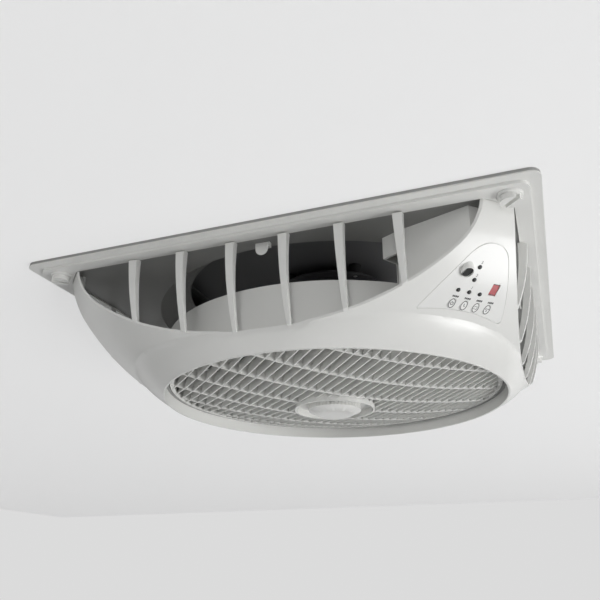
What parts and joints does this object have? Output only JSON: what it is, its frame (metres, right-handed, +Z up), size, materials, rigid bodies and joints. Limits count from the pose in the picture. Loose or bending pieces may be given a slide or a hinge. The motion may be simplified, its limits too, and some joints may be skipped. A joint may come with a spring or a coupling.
{
  "type": "ceiling panel fan",
  "caption": "Square ceiling panel fan: a bowl-shaped body with ribbed air intakes on its sides, a control panel on one leg and a round turning louvre wheel over the fan below.",
  "frame": {"origin": "centre of the square panel, in the plane of the flange's upper face that lies against the ceiling", "axes": "+Z up into the ceiling; +X and +Y along the panel's edges; the control panel is on the leg towards +X, -Y"},
  "size_m": [0.595, 0.595, 0.238],
  "materials": {
    "white_abs": "satin moulded ABS",
    "grey_sheet": "satin grey",
    "galvanised_sheet": "galvanised",
    "zinc_steel": "zinc plated",
    "fan_plastic": "satin",
    "motor_paint": "satin black",
    "core_steel": "laminated",
    "copper_wire": "enamelled copper",
    "bearing_steel": "ground",
    "isolator_rubber": "matte",
    "pan_paint": "satin dark grey",
    "foam_seal": "closed cell foam",
    "capacitor_can": "drawn can",
    "box_plastic": "matte",
    "block_plastic": "matte",
    "fascia_film": "satin printed film",
    "button_film": "satin",
    "dark_lens": "smoked, polished",
    "red_window": "tinted, polished",
    "board_green": "solder mask"
  },
  "bodies": {
    "frame": {"ceiling_panel": "white_abs", "flange_gasket": "foam_seal", "inlet_plate": "grey_sheet", "inlet_cone": "grey_sheet", "body_shell": "white_abs", "leg_screws": "zinc_steel", "upper_pan": "pan_paint", "hanger_plates": "galvanised_sheet", "intake_grille_front": "white_abs", "intake_grille_right": "white_abs", "intake_grille_back": "white_abs", "intake_grille_left": "white_abs", "knob_collars": "white_abs", "safety_hooks": "white_abs", "fan_shroud": "white_abs", "louvre_support": "grey_sheet", "shroud_screws": "zinc_steel", "shroud_nuts": "zinc_steel", "louvre_motor": "zinc_steel", "louvre_motor_screws": "zinc_steel", "motor_upper_housing": "motor_paint", "motor_lower_housing": "motor_paint", "motor_housing_screws": "zinc_steel", "motor_stator": "core_steel", "motor_windings": "copper_wire", "motor_bearing_upper": "bearing_steel", "motor_bearing_lower": "bearing_steel", "motor_plate": "motor_paint", "motor_isolators": "isolator_rubber", "isolator_screws": "zinc_steel", "motor_capacitor": "capacitor_can", "capacitor_clip": "zinc_steel", "terminal_box": "box_plastic", "terminal_box_cover": "box_plastic", "terminal_block": "block_plastic", "cable_gland": "block_plastic", "control_fascia": "fascia_film", "indicator_lenses": "dark_lens", "display_window": "red_window", "ir_bezel": "white_abs", "ir_lens": "dark_lens", "control_pcb": "board_green", "control_box": "white_abs"},
    "fan": {"impeller": "fan_plastic", "impeller_nut": "zinc_steel", "motor_rotor": "core_steel", "motor_shaft": "zinc_steel"},
    "louvre": {"louvre_wheel": "white_abs", "louvre_cap": "white_abs", "louvre_spindle": "zinc_steel"},
    "corner_knob_back_right": {"corner_knob_back_right": "white_abs"},
    "corner_knob_back_left": {"corner_knob_back_left": "white_abs"},
    "corner_knob_front_left": {"corner_knob_front_left": "white_abs"},
    "corner_knob_front_right": {"corner_knob_front_right": "white_abs"},
    "button_power": {"button_power": "button_film"},
    "button_timer": {"button_timer": "button_film"},
    "button_speed": {"button_speed": "button_film"},
    "button_louvre": {"button_louvre": "button_film"}
  },
  "joints": [
    {"name": "fan_spin", "type": "hinge", "parent": "frame", "child": "fan", "pos_m": [0, 0, 0], "axis": [0, 0, 1], "continuous": true},
    {"name": "louvre_spin", "type": "hinge", "parent": "frame", "child": "louvre", "pos_m": [0, 0, 0], "axis": [0, 0, 1], "continuous": true},
    {"name": "knob_back_right_turn", "type": "hinge", "parent": "frame", "child": "corner_knob_back_right", "pos_m": [0.267, 0.267, 0], "axis": [0, 0, 1], "range_deg": [0, 90]},
    {"name": "knob_back_left_turn", "type": "hinge", "parent": "frame", "child": "corner_knob_back_left", "pos_m": [-0.267, 0.267, 0], "axis": [0, 0, 1], "range_deg": [0, 90]},
    {"name": "knob_front_left_turn", "type": "hinge", "parent": "frame", "child": "corner_knob_front_left", "pos_m": [-0.267, -0.267, 0], "axis": [0, 0, 1], "range_deg": [0, 90]},
    {"name": "knob_front_right_turn", "type": "hinge", "parent": "frame", "child": "corner_knob_front_right", "pos_m": [0.267, -0.267, 0], "axis": [0, 0, 1], "range_deg": [0, 90]},
    {"name": "button_power_press", "type": "slide", "parent": "frame", "child": "button_power", "axis": [-0.4334, 0.4334, 0.7902], "range_m": [0, 0.0008], "stiffness_N_per_m": 300, "springref_m": -0.001},
    {"name": "button_timer_press", "type": "slide", "parent": "frame", "child": "button_timer", "axis": [-0.4334, 0.4334, 0.7902], "range_m": [0, 0.0008], "stiffness_N_per_m": 300, "springref_m": -0.001},
    {"name": "button_speed_press", "type": "slide", "parent": "frame", "child": "button_speed", "axis": [-0.4334, 0.4334, 0.7902], "range_m": [0, 0.0008], "stiffness_N_per_m": 300, "springref_m": -0.001},
    {"name": "button_louvre_press", "type": "slide", "parent": "frame", "child": "button_louvre", "axis": [-0.4334, 0.4334, 0.7902], "range_m": [0, 0.0008], "stiffness_N_per_m": 300, "springref_m": -0.001}
  ]
}
